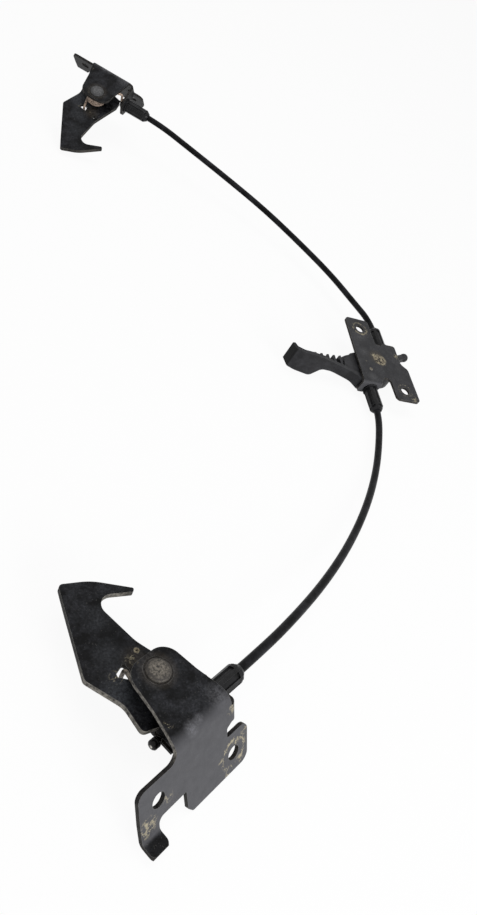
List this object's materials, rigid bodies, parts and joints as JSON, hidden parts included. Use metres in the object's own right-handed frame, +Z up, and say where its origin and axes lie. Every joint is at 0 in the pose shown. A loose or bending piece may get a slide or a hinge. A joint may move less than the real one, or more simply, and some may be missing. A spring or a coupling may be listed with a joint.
{
  "type": "bonnet release cable",
  "caption": "Bonnet release cable: a hand lever on a sheet bracket pulls two sheathed cables that open a mirrored pair of hooked latches.",
  "frame": {"origin": "Centre of the release bracket's lower fixing hole, on the bracket's upper face.", "axes": "+Z is up from the surface that the cable lies on. +Y is the long way of the layout, from the left latch's side towards the right latch. +X completes the frame and points away from the two latches."},
  "size_m": [0.4044, 0.6274, 0.0552],
  "materials": {
    "black_paint": "satin black dipped paint on folded steel sheet, scuffed at the edges",
    "rivet_steel": "plated steel gone dull grey-brown",
    "spring_steel": "drawn spring wire with a dull yellow tint",
    "cable_steel": "stranded bright steel wire",
    "zinc": "die-cast zinc, dark passivated",
    "black_plastic": "satin black moulded nylon",
    "conduit_plastic": "black extruded sheath with a soft sheen"
  },
  "bodies": {
    "root": {"release_bracket": "black_paint", "lever_rivet": "rivet_steel", "lever_washer": "rivet_steel", "left_latch_bracket": "black_paint", "left_hook_rivet": "rivet_steel", "left_hook_bush": "rivet_steel", "left_hook_washer": "rivet_steel", "left_latch_ferrule": "black_plastic", "left_lever_ferrule": "black_plastic", "left_conduit": "conduit_plastic", "right_latch_bracket": "black_paint", "right_hook_rivet": "rivet_steel", "right_hook_bush": "rivet_steel", "right_hook_washer": "rivet_steel", "right_latch_ferrule": "black_plastic", "right_lever_ferrule": "black_plastic", "right_conduit": "conduit_plastic"},
    "left_hook": {"left_hook": "black_paint", "left_hook_spring": "spring_steel"},
    "right_hook": {"right_hook": "black_paint", "right_hook_spring": "spring_steel"},
    "release_lever": {"release_lever": "black_plastic"},
    "left_hook_wire": {"left_hook_wire": "cable_steel", "left_hook_nipple": "zinc"},
    "left_lever_wire": {"left_lever_wire": "cable_steel", "left_lever_nipple": "zinc"},
    "right_hook_wire": {"right_hook_wire": "cable_steel", "right_hook_nipple": "zinc"},
    "right_lever_wire": {"right_lever_wire": "cable_steel", "right_lever_nipple": "zinc"}
  },
  "joints": [
    {"name": "lever_pull", "type": "hinge", "parent": "root", "child": "release_lever", "pos_m": [-0.00308, 0.03228, 0.00338], "axis": [0.054, 0.109, -0.9926], "range_deg": [0, 28], "stiffness_Nm_per_rad": 0.02},
    {"name": "left_hook_turn", "type": "hinge", "parent": "root", "child": "left_hook", "pos_m": [-0.3337, -0.1392, 0.0196], "axis": [-0.046, 0.052, 0.9976], "range_deg": [0, 20.1], "stiffness_Nm_per_rad": 0.08, "springref_deg": -34.38, "deforming": ["left_hook_spring"]},
    {"name": "right_hook_turn", "type": "hinge", "parent": "root", "child": "right_hook", "pos_m": [-0.095, 0.3602, 0.0272], "axis": [0.3501, 0.2621, -0.8993], "range_deg": [0, 20.1], "stiffness_Nm_per_rad": 0.08, "springref_deg": -34.38, "deforming": ["right_hook_spring"]},
    {"name": "left_hook_wire_slide", "type": "slide", "parent": "root", "child": "left_hook_wire", "axis": [0.9729, 0.229, 0.0329], "range_m": [0, 0.00624]},
    {"name": "right_hook_wire_slide", "type": "slide", "parent": "root", "child": "right_hook_wire", "axis": [0.5984, -0.8012, -0.0005], "range_m": [0, 0.00624]},
    {"name": "left_lever_wire_slide", "type": "slide", "parent": "root", "child": "left_lever_wire", "axis": [0.3704, 0.9209, 0.1212], "range_m": [0, 0.00624]},
    {"name": "right_lever_wire_slide", "type": "slide", "parent": "root", "child": "right_lever_wire", "axis": [-0.3704, -0.9209, -0.1212], "range_m": [0, 0.00624]}
  ],
  "couplings": [
    {"joint": "left_hook_turn", "follows": "lever_pull", "ratio": 0.71429},
    {"joint": "right_hook_turn", "follows": "lever_pull", "ratio": 0.71429},
    {"joint": "left_hook_wire_slide", "follows": "lever_pull", "m_per_rad": 0.012772},
    {"joint": "right_hook_wire_slide", "follows": "lever_pull", "m_per_rad": 0.012772},
    {"joint": "left_lever_wire_slide", "follows": "lever_pull", "m_per_rad": 0.012772},
    {"joint": "right_lever_wire_slide", "follows": "lever_pull", "m_per_rad": 0.012772}
  ]
}
